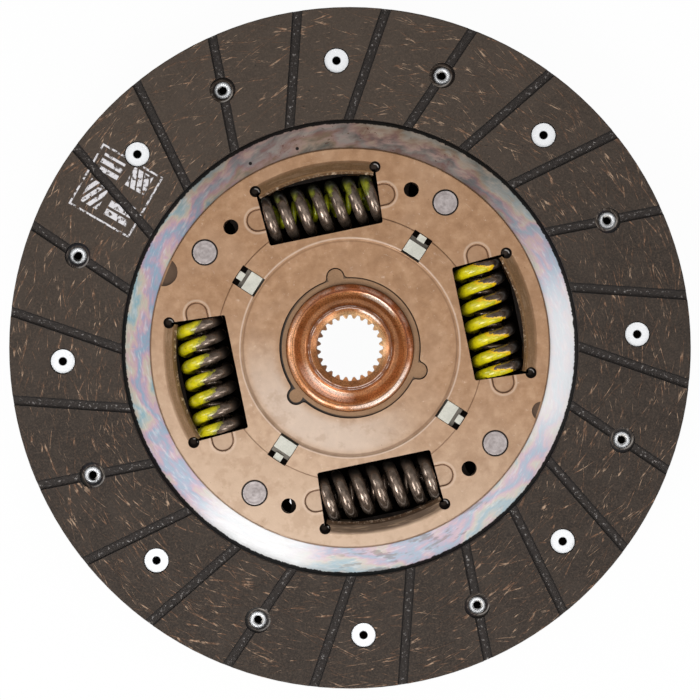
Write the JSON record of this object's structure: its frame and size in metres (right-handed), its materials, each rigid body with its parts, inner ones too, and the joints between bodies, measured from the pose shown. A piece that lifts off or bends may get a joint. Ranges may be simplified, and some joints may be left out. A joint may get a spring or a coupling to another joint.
{
  "type": "clutch disc",
  "caption": "Dry clutch disc with grooved, riveted friction rings, a splined hub and a coil-spring torsion damper between two cover plates.",
  "frame": {"origin": "on the hub's axis, in the middle plane of the cushion disc, halfway between the two friction faces", "axes": "+Z along the hub's axis, out of the pictured face, which lies upwards; +X and +Y in the friction plane, to the right and up in the picture"},
  "size_m": [0.228, 0.228, 0.026],
  "materials": {
    "friction_material": "pressed organic friction material with metal fibres, dull",
    "rivet_steel": "zinc-plated tubular rivets, satin",
    "plated_spring_steel": "zinc-plated spring steel with a faint rainbow passivation, lightly handled",
    "cover_steel": "phosphated and oiled pressed steel, satin brown",
    "pin_steel": "plain steel, upset flat heads, dull grey",
    "hub_steel": "turned steel with a copper-coloured phosphate film, half gloss",
    "flange_steel": "blanked and hardened steel, dark",
    "bush_polymer": "glass-filled polymer, dull",
    "ring_polymer": "pale glass-filled polymer, dull",
    "dark_spring_steel": "hardened spring steel, dark",
    "coil_steel": "shot-peened and oiled spring wire, with worn paint marks on some coils",
    "inner_coil_steel": "oiled spring wire, the top one marked with paint"
  },
  "bodies": {
    "plates": {"front_facing": "friction_material", "rear_facing": "friction_material", "front_facing_rivets": "rivet_steel", "rear_facing_rivets": "rivet_steel", "cushion_disc": "plated_spring_steel", "front_cover": "cover_steel", "rear_cover": "cover_steel", "stop_pins": "pin_steel", "front_bush": "bush_polymer", "rear_bush": "bush_polymer", "front_friction_ring": "ring_polymer", "rear_friction_ring": "ring_polymer", "thrust_ring": "ring_polymer", "disc_spring": "dark_spring_steel"},
    "hub": {"hub": "hub_steel", "drive_flange": "flange_steel"},
    "springs": {"right_outer_spring": "coil_steel", "top_outer_spring": "coil_steel", "left_outer_spring": "coil_steel", "bottom_outer_spring": "coil_steel", "right_inner_spring": "inner_coil_steel", "top_inner_spring": "inner_coil_steel", "left_inner_spring": "inner_coil_steel", "bottom_inner_spring": "inner_coil_steel"}
  },
  "joints": [
    {"name": "hub_twist", "type": "hinge", "parent": "plates", "child": "hub", "pos_m": [0, 0, 0], "axis": [0, 0, 1], "range_deg": [-8, 8], "stiffness_Nm_per_rad": 570, "deforming": ["right_outer_spring", "top_outer_spring", "left_outer_spring", "bottom_outer_spring", "right_inner_spring", "top_inner_spring", "left_inner_spring", "bottom_inner_spring"]},
    {"name": "spring_shift", "type": "hinge", "parent": "plates", "child": "springs", "pos_m": [0, 0, 0], "axis": [0, 0, 1], "range_deg": [-4, 4]}
  ],
  "couplings": [
    {"joint": "spring_shift", "follows": "hub_twist", "ratio": 0.5}
  ]
}
